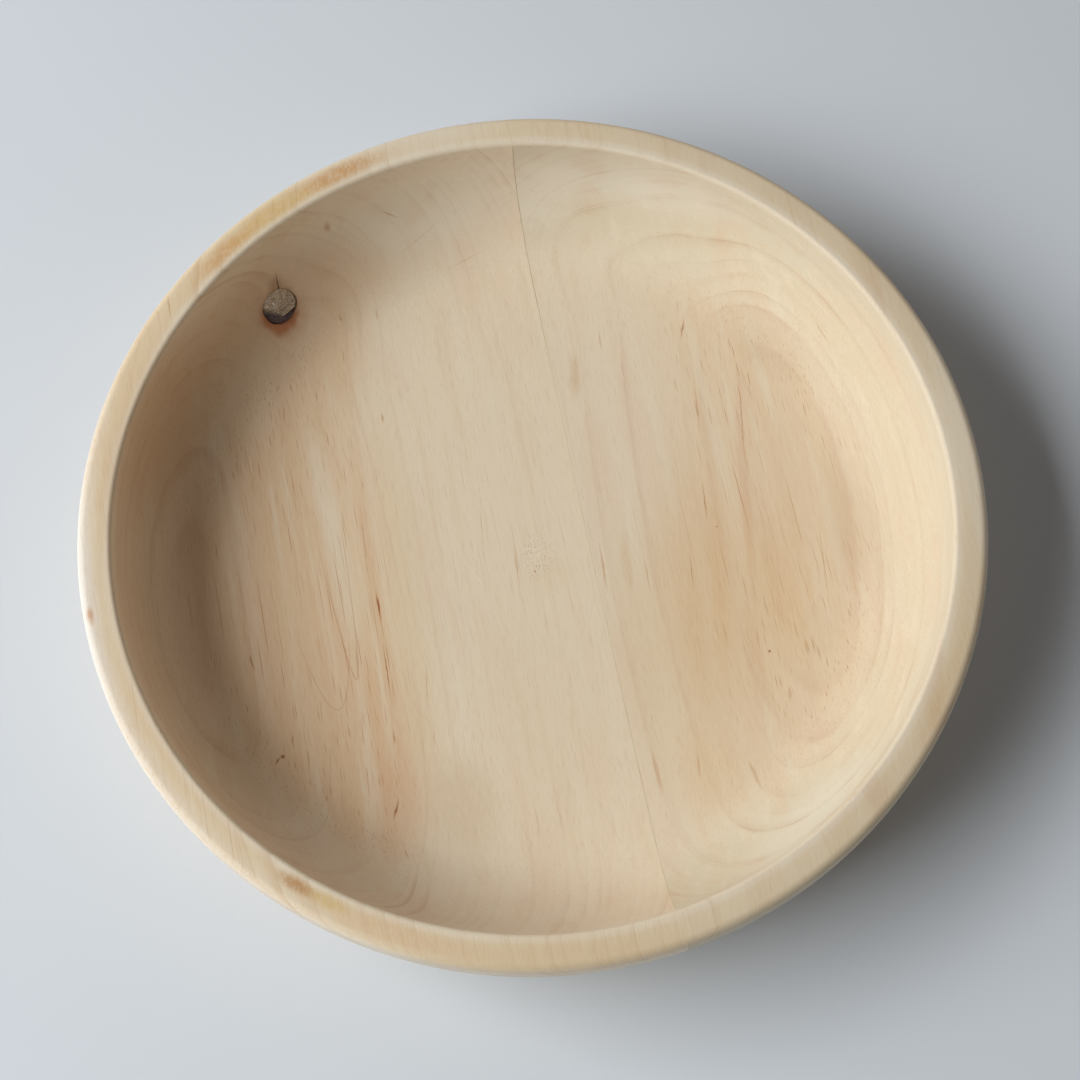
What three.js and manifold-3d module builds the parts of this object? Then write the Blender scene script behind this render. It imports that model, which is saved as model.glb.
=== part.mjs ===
// Turned wooden bowl: two boards glued edge to edge, the glue between them, and a dead knot in its bark.
// Millimetres. Z runs up the turning axis and Z = 0 is the surface that the bowl stands on.
// The grain of both boards runs along Y, and their glued edges are square to X.

import * as THREE from 'three';
import { mergeVertices, toCreasedNormals } from 'three/addons/utils/BufferGeometryUtils.js';
import Module from 'manifold-3d';

const wasm = await Module();
wasm.setup();

// Outside of the bowl
const bowlHeight = 50;
const rimRadius = 135;
const rimOuterEase = 2.7; // rounding between the top of the rim and the side
const sideHeight = 5; // upright stretch of the side below that rounding
const footRadius = 84;
const footHeight = 2;
const footEase = 0.8; // bevel on the foot's lower edge
const footLedge = 4; // level ring between the foot and the curve of the side

// Hollow
const baseThickness = 9; // wood left under the lowest point of the hollow
const rimWidth = 10.3; // from the side to where the hollow's wall line meets the top
const rimInnerEase = 1.5; // rounding of the rim's inner edge
const wallLean = 3; // degrees that the hollow's wall leans out towards the rim
const hollowCornerRadius = 30.5; // turn from the wall into the floor
const hollowSweepRadius = 1050; // the floor is a very shallow dish

// Glued joint
const glueOffset = 18; // from the turning axis, so the left board is the wider one
const glueThickness = 0.25;

// Knot in the left board
const knotTurn = 34; // degrees round the bowl from +Y towards -X
const knotPitch = 43; // degrees down the hollow's corner curve, from level
const knotRadius = 4.9; // at the surface of the hollow
const knotTaper = 3; // degrees, narrower towards the outside of the bowl
const barkThickness = 0.5; // mean thickness of the bark round the knot
const barkShift = 0.75; // towards the floor, and more than the thickness, which leaves a crescent of bark
const fitGap = 0.3; // dry gap between knot, bark and board

// Roundness of the curves
const turningSegments = 96;
const cornerSteps = 8;
const sweepSteps = 4;
const easeSteps = 3;
const knotSegments = 28;

const hollowDepth = bowlHeight - baseThickness;
const wallAngle = THREE.MathUtils.degToRad(wallLean);

// Points of an ellipse about (x, y), angles in radians, first and last point included.
function arcPoints(x, y, radiusX, radiusY, startAngle, endAngle, steps) {
  const curve = new THREE.EllipseCurve(x, y, radiusX, radiusY, startAngle, endAngle, endAngle < startAngle);
  return curve.getPoints(steps);
}

// The corner of the hollow touches both the leaning wall and the dish of the floor.
function hollowCorner() {
  const radius = Math.min(hollowCornerRadius, 0.9 * (hollowDepth - rimInnerEase));
  const wallTop = new THREE.Vector2(rimRadius - rimWidth, bowlHeight);
  const wallDown = new THREE.Vector2(-Math.sin(wallAngle), -Math.cos(wallAngle));
  const wallInward = new THREE.Vector2(-Math.cos(wallAngle), Math.sin(wallAngle));
  const dishCentre = new THREE.Vector2(0, baseThickness + hollowSweepRadius);
  const start = wallTop.clone().addScaledVector(wallInward, radius).sub(dishCentre);
  const along = start.dot(wallDown);
  const reach = hollowSweepRadius - radius;
  const drop = Math.sqrt(along * along - start.lengthSq() + reach * reach) - along;
  const centre = start.addScaledVector(wallDown, drop).add(dishCentre);
  const dishAngle = Math.asin(centre.x / reach);
  return { centre, radius, dishCentre, dishAngle };
}

// Half section of the bowl from the middle of the foot, round the outside, over the rim and
// down the hollow to the middle of its floor.
function bowlProfile() {
  const quarter = Math.PI / 2;
  const sideBottom = bowlHeight - rimOuterEase - sideHeight;
  const ledgeRadius = footRadius + footLedge;
  const corner = hollowCorner();
  const innerEaseCentre = new THREE.Vector2(
    rimRadius - rimWidth - rimInnerEase * Math.tan(wallAngle) + rimInnerEase / Math.cos(wallAngle),
    bowlHeight - rimInnerEase,
  );
  const foot = [
    new THREE.Vector2(0, 0),
    new THREE.Vector2(footRadius - footEase, 0),
    new THREE.Vector2(footRadius, footEase),
    new THREE.Vector2(footRadius, footHeight),
  ];
  const outside = arcPoints(
    ledgeRadius, sideBottom, rimRadius - ledgeRadius, sideBottom - footHeight, -quarter, 0, cornerSteps,
  );
  const outerEase = arcPoints(
    rimRadius - rimOuterEase, bowlHeight - rimOuterEase, rimOuterEase, rimOuterEase, 0, quarter, easeSteps,
  );
  const innerEase = arcPoints(
    innerEaseCentre.x, innerEaseCentre.y, rimInnerEase, rimInnerEase, quarter, Math.PI - wallAngle, easeSteps,
  );
  const turn = arcPoints(
    corner.centre.x, corner.centre.y, corner.radius, corner.radius,
    -wallAngle, corner.dishAngle - quarter, cornerSteps,
  );
  const floor = arcPoints(
    corner.dishCentre.x, corner.dishCentre.y, hollowSweepRadius, hollowSweepRadius,
    corner.dishAngle - quarter, -quarter, sweepSteps,
  );
  floor[floor.length - 1].x = 0;
  return [...foot, ...outside, ...outerEase, ...innerEase, ...turn, ...floor.slice(1)];
}

// A closed geometry as a solid that can be joined and cut.
function toSolid(geometry) {
  geometry.deleteAttribute('normal');
  geometry.deleteAttribute('uv');
  const merged = mergeVertices(geometry, 1e-4);
  const corners = merged.index.array;
  const triVerts = [];
  for (let i = 0; i < corners.length; i += 3) {
    const [a, b, c] = corners.slice(i, i + 3);
    if (a !== b && b !== c && c !== a) {
      triVerts.push(a, b, c);
    }
  }
  const vertProperties = merged.attributes.position.array;
  return new wasm.Manifold(new wasm.Mesh({ numProp: 3, vertProperties, triVerts: Uint32Array.from(triVerts) }));
}

// A finished solid as a named mesh.
function toMesh(solid, name, material) {
  const { vertProperties, triVerts } = solid.getMesh();
  const geometry = new THREE.BufferGeometry();
  geometry.setAttribute('position', new THREE.BufferAttribute(vertProperties, 3));
  geometry.setIndex(new THREE.BufferAttribute(triVerts, 1));
  const mesh = new THREE.Mesh(toCreasedNormals(geometry, Math.PI / 6), material);
  mesh.name = name;
  return mesh;
}

function turnedBlank() {
  const geometry = new THREE.LatheGeometry(bowlProfile(), turningSegments);
  geometry.rotateX(Math.PI / 2);
  return toSolid(geometry);
}

// A block the full size of the bowl between two planes square to X.
function slice(fromX, toX) {
  const across = 3 * rimRadius;
  const geometry = new THREE.BoxGeometry(toX - fromX, across, 3 * bowlHeight);
  geometry.translate((fromX + toX) / 2, 0, bowlHeight / 2);
  return toSolid(geometry);
}

// Frame of the knot: its middle on the hollow's surface, Y out of the wood, X down the wall to the floor.
function knotFrame() {
  const corner = hollowCorner();
  const pitch = THREE.MathUtils.degToRad(knotPitch);
  const round = THREE.MathUtils.degToRad(knotTurn);
  const outward = new THREE.Vector3(-Math.sin(round), Math.cos(round), 0);
  const up = new THREE.Vector3(0, 0, 1);
  const onArc = (level, height) => outward.clone().multiplyScalar(level).addScaledVector(up, height);
  const middle = onArc(
    corner.centre.x + corner.radius * Math.cos(pitch),
    corner.centre.y - corner.radius * Math.sin(pitch),
  );
  const outOfWood = onArc(-Math.cos(pitch), Math.sin(pitch));
  const downWall = onArc(-Math.sin(pitch), -Math.cos(pitch));
  const sideways = new THREE.Vector3().crossVectors(downWall, outOfWood);
  return new THREE.Matrix4().makeBasis(downWall, outOfWood, sideways).setPosition(middle);
}

// Tapered plug along the knot's axis, long enough to pass through the wall.
function knotPlug(radius, shift) {
  const inside = 2 * knotRadius;
  const outside = 3 * rimWidth;
  const slope = Math.tan(THREE.MathUtils.degToRad(knotTaper));
  const geometry = new THREE.CylinderGeometry(
    radius + slope * inside, radius - slope * outside, inside + outside, knotSegments,
  );
  geometry.translate(shift, (inside - outside) / 2, 0);
  geometry.applyMatrix4(knotFrame());
  return toSolid(geometry);
}

// Bare timber with the photographed tones: pale wood, thin glue, grey-brown dead wood, charred-looking bark.
const leftWood = new THREE.MeshStandardMaterial({ color: 0xdcc49c, roughness: 0.62, metalness: 0 });
const rightWood = new THREE.MeshStandardMaterial({ color: 0xd8bd93, roughness: 0.62, metalness: 0 });
const glueFilm = new THREE.MeshStandardMaterial({ color: 0xa88f66, roughness: 0.5, metalness: 0 });
const deadWood = new THREE.MeshStandardMaterial({ color: 0x8f7d69, roughness: 0.8, metalness: 0 });
const bark = new THREE.MeshStandardMaterial({ color: 0x2b211c, roughness: 0.9, metalness: 0 });

const blank = turnedBlank();
const glueSlice = slice(glueOffset - glueThickness / 2, glueOffset + glueThickness / 2);
const boards = blank.subtract(glueSlice);
const barkRadius = knotRadius + fitGap + barkThickness;
const barkPlug = knotPlug(barkRadius, barkShift);
const knotHole = knotPlug(barkRadius + fitGap, barkShift);
const reachX = 2 * rimRadius;

const leftBoard = boards.intersect(slice(-reachX, glueOffset)).subtract(knotHole);
const rightBoard = boards.intersect(slice(glueOffset, reachX));
const glueLine = blank.intersect(glueSlice);
const knot = blank.intersect(knotPlug(knotRadius, 0));
const knotBark = blank.intersect(barkPlug).subtract(knotPlug(knotRadius + fitGap, 0));

const bowl = new THREE.Group();
bowl.add(
  toMesh(leftBoard, 'left_board', leftWood),
  toMesh(rightBoard, 'right_board', rightWood),
  toMesh(glueLine, 'glue_line', glueFilm),
  toMesh(knot, 'knot', deadWood),
  toMesh(knotBark, 'knot_bark', bark),
);

export default bowl;
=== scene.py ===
# %% [markdown]
# # A turned wooden bowl
#
# The bowl is turned on a lathe from two pale boards that were glued edge to edge. Its wood is bare, only
# sanded, and one dead knot sits in its bark in the left board. The CAD solids give the true size. Here
# every one of them gets a finer twin with the grain, the knot and the glue line that the real one shows.
#
# Blender works in metres, and the numbers of a woodturner are millimetres, so each is multiplied by mm.

import math

import bmesh
import bpy
from mathutils import Matrix, Quaternion, Vector


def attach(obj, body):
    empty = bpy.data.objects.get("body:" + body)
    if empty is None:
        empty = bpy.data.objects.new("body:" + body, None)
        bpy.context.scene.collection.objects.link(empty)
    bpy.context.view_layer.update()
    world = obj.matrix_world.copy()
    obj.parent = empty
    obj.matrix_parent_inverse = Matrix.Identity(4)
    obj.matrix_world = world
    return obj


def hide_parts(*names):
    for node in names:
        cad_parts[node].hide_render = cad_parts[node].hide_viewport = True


mm = 0.001
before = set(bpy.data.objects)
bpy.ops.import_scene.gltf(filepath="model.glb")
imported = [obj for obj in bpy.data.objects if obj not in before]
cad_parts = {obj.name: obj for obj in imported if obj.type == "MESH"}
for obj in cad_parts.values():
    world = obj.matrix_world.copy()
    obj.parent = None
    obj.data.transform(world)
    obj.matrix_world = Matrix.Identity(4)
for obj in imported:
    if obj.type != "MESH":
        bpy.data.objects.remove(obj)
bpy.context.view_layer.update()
print("CAD pieces:", sorted(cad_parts))

# %% [markdown]
# ## The camera
#
# The bowl was photographed by someone who stood at its near side and held the camera over it. A camera
# turned towards a point has one freedom left, the roll about its own line of sight, so it is aimed first
# and rolled after.

# %% Camera
camera_place = Vector((-31.8, -210.5, 602.75)) * mm
camera_aim = Vector((0.67, -9.74, 50)) * mm
camera_roll = math.radians(-2.083)

line_of_sight = camera_aim - camera_place
turned = line_of_sight.to_track_quat("-Z", "Y") @ Quaternion((0, 0, 1), camera_roll)
bpy.ops.object.camera_add(location=camera_place, rotation=turned.to_euler())
camera = bpy.context.active_object
camera.name = "camera_over_the_near_side"
camera.data.sensor_width = 36
camera.data.lens = 66.667
bpy.context.scene.camera = camera
print("camera", round(line_of_sight.length / mm), "mm from the rim")

# %% [markdown]
# ## The half section
#
# A turned shape is one outline that goes round an axis. The outline starts in the middle of the foot, runs
# out under the bowl, up its side, over the rim, down the hollow and back to the axis. Curves are drawn with
# many short steps here, because the light of a soft window shows every flat facet on smooth wood.

# %% Outline of the bowl
def curve_points(centre, radii, start, end, steps):
    """Points on a round or oval curve from start to end, in degrees. The first point is left out."""
    points = []
    for step in range(1, steps + 1):
        angle = math.radians(start + (end - start) * step / steps)
        points.append((centre[0] + radii[0] * math.cos(angle), centre[1] + radii[1] * math.sin(angle)))
    return points


rim_radius = 135
rim_top = 50
rim_ease = 2.7
side_bottom = 42.3
foot_radius = 84
foot_height = 2
foot_bevel = 0.8
ledge_radius = 88
inner_rim_radius = 126.12
inner_ease = 1.5
wall_lean = 3
foot_rings = (0, 20, 40, 60, 76)
side_middle = 44.8
rim_middle_radius = 129.2
wall_middle = (124.45, 45.4)
corner_centre = (93.83, 43.83)
corner_radius = 30.5
dish_radius = 1050
dish_edge = 5.127
floor_height = 9

outline = [(radius, 0) for radius in (*foot_rings, foot_radius - foot_bevel)]
outline += [(foot_radius, foot_bevel), (foot_radius, foot_height), (ledge_radius, foot_height)]
outline += curve_points(
    (ledge_radius, side_bottom), (rim_radius - ledge_radius, side_bottom - foot_height), -90, 0, steps=28,
)
outline += [(rim_radius, side_middle), (rim_radius, rim_top - rim_ease)]
outline += curve_points((rim_radius - rim_ease, rim_top - rim_ease), (rim_ease,) * 2, 0, 90, steps=8)
outline += [(rim_middle_radius, rim_top), (inner_rim_radius, rim_top)]
outline += curve_points(
    (inner_rim_radius, rim_top - inner_ease), (inner_ease,) * 2, 90, 180 - wall_lean, steps=6,
)
outline += [wall_middle]
outline += curve_points(corner_centre, (corner_radius,) * 2, -wall_lean, dish_edge - 90, steps=30)
outline += curve_points((0, floor_height + dish_radius), (dish_radius,) * 2, dish_edge - 90, -90, steps=14)
outline[-1] = (0, floor_height)
print(len(outline), "points in the half section")

# %% [markdown]
# ## Editing by hand, in code
#
# Edit mode works on what is selected, so each step opens one piece with all or nothing of it selected, and
# picks points by where they are.

# %% Opening, closing and picking
def pick_piece(piece):
    """Makes one piece the only selected one and the active one."""
    bpy.ops.object.select_all(action="DESELECT")
    piece.select_set(True)
    bpy.context.view_layer.objects.active = piece


def open_piece(piece, pick="DESELECT", kind="VERT"):
    """Opens one piece in edit mode, with nothing of it selected unless pick says SELECT."""
    pick_piece(piece)
    bpy.ops.object.mode_set(mode="EDIT")
    bpy.ops.mesh.select_mode(type=kind)
    bpy.ops.mesh.select_all(action=pick)


def close_piece():
    bpy.ops.object.mode_set(mode="OBJECT")


def pick_points(piece, wanted):
    """Selects the points of the open piece whose place passes a test."""
    mesh = bmesh.from_edit_mesh(piece.data)
    for point in mesh.verts:
        point.select_set(wanted(point.co))
    mesh.select_flush_mode()
    bmesh.update_edit_mesh(piece.data)


def copy_piece(piece, name):
    """A copy with its own mesh."""
    twin = piece.copy()
    twin.data = piece.data.copy()
    twin.name = name
    bpy.context.scene.collection.objects.link(twin)
    return twin


def report(piece):
    """Prints how many edges of a piece don't join exactly two faces. A closed solid has none."""
    mesh = bmesh.new()
    mesh.from_mesh(piece.data)
    open_edges = sum(1 for edge in mesh.edges if not edge.is_manifold)
    mesh.free()
    print(piece.name, "has", len(piece.data.polygons), "faces and", open_edges, "open edges")


# %% [markdown]
# ## Turning the blank
#
# The outline starts as one point. Extruding a point leaves a line behind it, so extruding it from place to
# place draws the outline, and Spin then turns it round the axis as the lathe does. Spin leaves a second copy
# of the seam and of both points on the axis. They are merged before the normals are made to point outwards.

# %% Draw the outline and spin it
turning_steps = 240

bpy.ops.mesh.primitive_plane_add(size=1 * mm)
blank = bpy.context.active_object
blank.name = "turned_blank"
open_piece(blank, "SELECT")
bpy.ops.mesh.merge(type="CENTER")
for (radius, height), (next_radius, next_height) in zip(outline, outline[1:]):
    step = Vector((next_radius - radius, 0, next_height - height)) * mm
    bpy.ops.mesh.extrude_region_move(TRANSFORM_OT_translate={"value": step})
bpy.ops.mesh.select_all(action="SELECT")
bpy.ops.mesh.spin(steps=turning_steps, angle=math.tau, center=(0, 0, 0), axis=(0, 0, 1))
bpy.ops.mesh.select_all(action="SELECT")
bpy.ops.mesh.remove_doubles(threshold=0.01 * mm)
bpy.ops.mesh.normals_make_consistent(inside=False)
close_piece()
report(blank)

# %% [markdown]
# ## Two boards and the glue between them
#
# The blank was glued before it was turned, so the joint is a flat plane through the whole bowl. Bisect saws
# a mesh along a plane and can close the cut. The glue squeezed thin is a quarter of a millimetre thick.

# %% Saw the blank into boards
glue_offset = 18
glue_thickness = 0.25


def saw(piece, distance, direction=(1, 0, 0), keep_far=False):
    """Saws a piece by a plane at a distance along a direction, and keeps what lies before or beyond it."""
    open_piece(piece, "SELECT")
    bpy.ops.mesh.bisect(
        plane_co=Vector(direction) * distance * mm, plane_no=direction, use_fill=True,
        clear_inner=keep_far, clear_outer=not keep_far,
    )
    close_piece()


glue_left = glue_offset - glue_thickness / 2
glue_right = glue_offset + glue_thickness / 2
left_board = copy_piece(blank, "left_board_wood")
saw(left_board, glue_left)
right_board = copy_piece(blank, "right_board_wood")
saw(right_board, glue_right, keep_far=True)
glue_film = copy_piece(blank, "glue_film")
saw(glue_film, glue_left, keep_far=True)
saw(glue_film, glue_right)
for piece in (left_board, right_board, glue_film):
    report(piece)

# %% [markdown]
# ## Where the knot sits
#
# The knot is what is left of a branch that was already dead when the trunk grew round it. Its pieces are
# easier to shape lying flat at the origin. The matrix below then carries them to the far left of the hollow,
# with their local Z pointing out of the wood and their local X pointing down the wall to the floor.

# %% Frame of the knot
knot_turn = math.radians(34)
knot_pitch = math.radians(43)

outward = Vector((-math.sin(knot_turn), math.cos(knot_turn), 0))
upward = Vector((0, 0, 1))
knot_reach = corner_centre[0] + corner_radius * math.cos(knot_pitch)
knot_height = corner_centre[1] - corner_radius * math.sin(knot_pitch)
knot_middle = (outward * knot_reach + upward * knot_height) * mm
out_of_wood = upward * math.sin(knot_pitch) - outward * math.cos(knot_pitch)
down_wall = -outward * math.sin(knot_pitch) - upward * math.cos(knot_pitch)
sideways = out_of_wood.cross(down_wall)
knot_frame = Matrix((down_wall, sideways, out_of_wood)).transposed().to_4x4()
knot_frame.translation = knot_middle
print("knot at", [round(side / mm, 1) for side in knot_middle], "mm")

# %% [markdown]
# ## A rough peg
#
# The hole, the knot and the bark all start as a tapered peg. It begins as a cylinder, is made oval and
# narrower at its far end, and gets loops along its length. A Displace modifier with a cloud texture then
# pushes its skin in and out, so that nothing round the knot looks drilled.

# %% Make a peg along the knot's axis
def bring_to_knot(piece):
    """Carries a piece from the origin to the knot and leaves its object unturned at the origin."""
    pick_piece(piece)
    piece.matrix_world = knot_frame
    bpy.ops.object.transform_apply(location=True, rotation=True, scale=True)


def roughen(piece, grain, depth, mid_level=1):
    """Pushes the skin of a piece in and out by a cloud texture, for good."""
    cloud = bpy.data.textures.new(piece.name + "_cloud", type="CLOUDS")
    cloud.noise_scale = grain * mm
    cloud.noise_depth = 2
    pick_piece(piece)
    bpy.ops.object.modifier_add(type="DISPLACE")
    push = piece.modifiers[-1]
    push.texture = cloud
    push.texture_coords = "LOCAL"
    push.strength = depth * mm
    push.mid_level = mid_level
    bpy.ops.object.modifier_apply(modifier=push.name)


inside = 11
outside = 32
far_end = 0.72
peg_sides = 72
peg_loops = 40


def rough_peg(name, radius, oval, shift, grain, depth):
    """A tapered peg with a rough skin, still at the origin, longer than the wall is thick."""
    bpy.ops.mesh.primitive_cylinder_add(
        vertices=peg_sides, radius=radius * mm, depth=(inside + outside) * mm,
        location=(0, 0, (inside - outside) / 2 * mm),
    )
    peg = bpy.context.active_object
    peg.name = name
    bpy.ops.object.transform_apply(location=True)
    open_piece(peg)
    pick_points(peg, lambda place: place.z < 0)
    bpy.ops.transform.resize(value=(far_end, far_end, 1))
    bpy.ops.mesh.select_all(action="SELECT")
    bpy.ops.transform.resize(value=(1, oval, 1))
    bpy.ops.transform.translate(value=(shift * mm, 0, 0))
    close_piece()
    open_piece(peg, kind="EDGE")
    mesh = bmesh.from_edit_mesh(peg.data)
    for edge in mesh.edges:
        edge.select_set(abs(edge.verts[0].co.z - edge.verts[1].co.z) > 1 * mm)
    bmesh.update_edit_mesh(peg.data)
    bpy.ops.mesh.subdivide(number_cuts=peg_loops)
    close_piece()
    roughen(peg, grain, depth, mid_level=0.5)
    return peg


# %% [markdown]
# ## The hole in the left board
#
# The hole is cut with a Boolean modifier. A short crack runs from its upper edge towards the rim: a thin
# wedge cuts it, widest at the hole and running out to nothing.

# %% Cut the hole and the crack
def combine(piece, other, operation):
    """Joins, cuts or trims a piece with another one, for good."""
    pick_piece(piece)
    bpy.ops.object.modifier_add(type="BOOLEAN")
    cut = piece.modifiers[-1]
    cut.operation = operation
    cut.solver = "EXACT"
    cut.object = other
    bpy.ops.object.modifier_apply(modifier=cut.name)


knot_hole = rough_peg("knot_hole", radius=5.95, oval=1.12, shift=0.75, grain=5, depth=0.7)
bring_to_knot(knot_hole)
combine(left_board, knot_hole, "DIFFERENCE")

crack_size = (7, 0.6, 5)
crack_lean = math.radians(19)
crack_place = Vector((-6.3, 3.85, 0)) * mm
bpy.ops.mesh.primitive_cube_add(size=1 * mm)
crack = bpy.context.active_object
crack.name = "crack_above_knot"
open_piece(crack, "SELECT")
bpy.ops.transform.resize(value=crack_size)
pick_points(crack, lambda place: place.x < 0)
bpy.ops.transform.resize(value=(1, 0.1, 1))
bpy.ops.mesh.select_all(action="SELECT")
bpy.ops.transform.rotate(value=crack_lean, orient_axis="Z", center_override=(0, 0, 0))
bpy.ops.transform.translate(value=crack_place)
close_piece()
bring_to_knot(crack)
combine(left_board, crack, "DIFFERENCE")
report(left_board)

# %% [markdown]
# ## The dead knot
#
# The branch has shrunk since the tree was felled. It stands a little below the surface that it was turned
# with, and it has split away along two flat faces on the side towards the floor. Its peg is sawn along these
# faces, trimmed by the blank, and trimmed again by the blank moved down a little, which lowers only the face
# in the hollow. Remesh covers it with small even faces, fine enough for a weathered skin.

# %% Shape the knot
def trim_to_bowl(piece, depth):
    """Trims a piece to the bowl's surfaces, and to some depth below them in the hollow."""
    combine(piece, blank, "INTERSECT")
    lowered = copy_piece(blank, "lowered_blank")
    open_piece(lowered, "SELECT")
    bpy.ops.transform.translate(value=out_of_wood * -depth * mm)
    close_piece()
    combine(piece, lowered, "INTERSECT")
    bpy.data.objects.remove(lowered)


def remesh(piece, size):
    """Covers a piece with even faces of one size."""
    pick_piece(piece)
    piece.data.remesh_voxel_size = size * mm
    bpy.ops.object.voxel_remesh()


skin_grid = 0.2
knot_shrunk = 0.2
knot = rough_peg("dead_knot_wood", radius=5.35, oval=1.14, shift=0.3, grain=5, depth=0.6)
saw(knot, 3.9)
saw(knot, 3.5, direction=(0.71, -0.704, 0))
bark_seat = copy_piece(knot, "bark_seat")
bring_to_knot(knot)
trim_to_bowl(knot, knot_shrunk)
remesh(knot, skin_grid)
roughen(knot, grain=1.1, depth=0.35)
roughen(knot, grain=0.35, depth=0.12)
report(knot)

# %% [markdown]
# ## The bark
#
# Bark that the trunk grew over can't knit with the wood, so it stays as a dark crumbling crescent beside the
# knot. It is what remains of a larger peg once the knot's own shape is cut from it, and it has crumbled
# deeper than the knot has shrunk.

# %% Shape the bark
bark_crumbled = 0.9
bark = rough_peg("bark_crescent", radius=5.8, oval=1.12, shift=0.8, grain=3, depth=0.3)
bring_to_knot(bark)
bring_to_knot(bark_seat)
combine(bark, bark_seat, "DIFFERENCE")
trim_to_bowl(bark, bark_crumbled)
remesh(bark, skin_grid)
roughen(bark, grain=0.9, depth=0.5)
report(bark)
for helper in (knot_hole, crack, bark_seat, blank):
    bpy.data.objects.remove(helper)

# %% [markdown]
# ## Smooth skin, sharp edges
#
# Turned wood shades smoothly round its curves, while sawn faces and the knot's edge stay crisp. Shade smooth
# by angle keeps each edge sharp where two faces meet at more than the given angle.

# %% Shade the pieces
sharp_from = math.radians(35)
for piece in (left_board, right_board, glue_film, knot, bark):
    pick_piece(piece)
    bpy.ops.object.shade_smooth_by_angle(angle=sharp_from)
    print(piece.name, "triangles:", sum(len(face.vertices) - 2 for face in piece.data.polygons))

# %% [markdown]
# ## Building materials from nodes
#
# Colours are written as on a paint chart, in sRGB hex, and shaders want linear light, so one function turns
# one into the other. A second function adds a node, with its settings and what feeds it. Patterns are laid
# out in millimetres: the object's own coordinates, which are the row's metres, are multiplied by 1000.

# %% Paint, nodes and coordinates
def paint(hex_code):
    """Linear colour of an sRGB hex code."""
    channels = [int(hex_code[place:place + 2], 16) / 255 for place in (1, 3, 5)]
    linear = [value / 12.92 if value <= 0.04045 else ((value + 0.055) / 1.055) ** 2.4 for value in channels]
    return (*linear, 1)


def add_node(tree, kind, feeds=None, **settings):
    """Adds a node. A feed is a value, a socket or a node, under the input's name or number."""
    node = tree.nodes.new("ShaderNode" + kind)
    for name, value in settings.items():
        setattr(node, name, value)
    for name, feed in (feeds or {}).items():
        socket = node.inputs[name] if isinstance(name, int) else next(
            one for one in node.inputs if one.enabled and one.name == name
        )
        if isinstance(feed, bpy.types.Node):
            feed = next(one for one in feed.outputs if one.enabled)
        if isinstance(feed, bpy.types.NodeSocket):
            tree.links.new(feed, socket)
        else:
            socket.default_value = feed
    return node


def new_material(name):
    """A material with an empty node tree, and the place of each surface point in millimetres."""
    material = bpy.data.materials.new(name)
    material.use_nodes = True
    tree = material.node_tree
    tree.nodes.clear()
    coordinates = add_node(tree, "TexCoord")
    place = add_node(
        tree, "VectorMath",
        {0: coordinates.outputs["Object"], "Scale": 1000}, operation="SCALE",
    )
    return material, tree, place


def add_shader(tree, colour, roughness, height, bump):
    """The surface: a Principled shader with its colour, roughness and fine relief."""
    relief = add_node(tree, "Bump", {"Height": height, "Strength": 1, "Distance": bump * mm})
    surface = add_node(
        tree, "BsdfPrincipled",
        {"Base Color": colour, "Roughness": roughness, "Normal": relief, "IOR": 1.5, "Metallic": 0},
    )
    add_node(tree, "OutputMaterial", {"Surface": surface})


# %% [markdown]
# ## Layers of colour
#
# The wood gets its colours as a painter would give them, in thin layers. How strongly a layer shows at a
# point is an amount from 0 to 1, the product of a few factors. Most of them rise or fall smoothly with some
# value, such as the height over the table, between two limits. A Map Range node makes such a rise.

# %% Amounts and layers
def amount(tree, *factors):
    """The product of its factors, each a number, a socket, a node or a smooth rise.

    (value, low, high) rises from 0 to 1 as the value goes from low to high, and (value, low, high, bottom,
    top) from bottom to top. With low above high the value runs downwards.
    """
    parts = []
    for factor in factors:
        if isinstance(factor, tuple):
            value, low, high, *ends = factor
            bottom, top = ends or (0, 1)
            factor = add_node(
                tree, "MapRange",
                {"Value": value, "From Min": low, "From Max": high, "To Min": bottom, "To Max": top},
                interpolation_type="SMOOTHSTEP",
            )
        parts.append(factor)
    product, *others = parts
    for other in others:
        product = add_node(tree, "Math", {0: product, 1: other}, operation="MULTIPLY")
    return product


def lay_over(tree, under, over, *factors):
    """Lays one colour over another by the amount that the factors give. A colour may be a hex code."""
    under, over = (paint(colour) if isinstance(colour, str) else colour for colour in (under, over))
    share = amount(tree, *factors)
    return add_node(tree, "Mix", {"Factor": share, "A": under, "B": over}, data_type="RGBA")


# %% [markdown]
# ## Growth rings
#
# A trunk adds a ring each year, so the figure of a board is the distance of each point from the pith, which
# lies outside the board. Where the bowl's hollow dips through these shells they show as ovals and arches,
# and that happens by itself once the distance is right. The pith isn't quite straight, and the shells swell
# where a branch has disturbed them, so the distance gets a slow bend and a few soft swells. Noise that is
# drawn out along the grain lets it wander a little as well.

# %% Distance from the pith
usual_pith_distance = 80


def along_grain(tree, place, across, along, detail=2):
    """Noise whose grains are so many millimetres across and along the fibres."""
    stretched = add_node(tree, "Mapping", {"Vector": place, "Scale": (1 / across, 1 / along, 1 / across)})
    return add_node(tree, "TexNoise", {"Vector": stretched, "Scale": 1, "Detail": detail})


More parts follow.
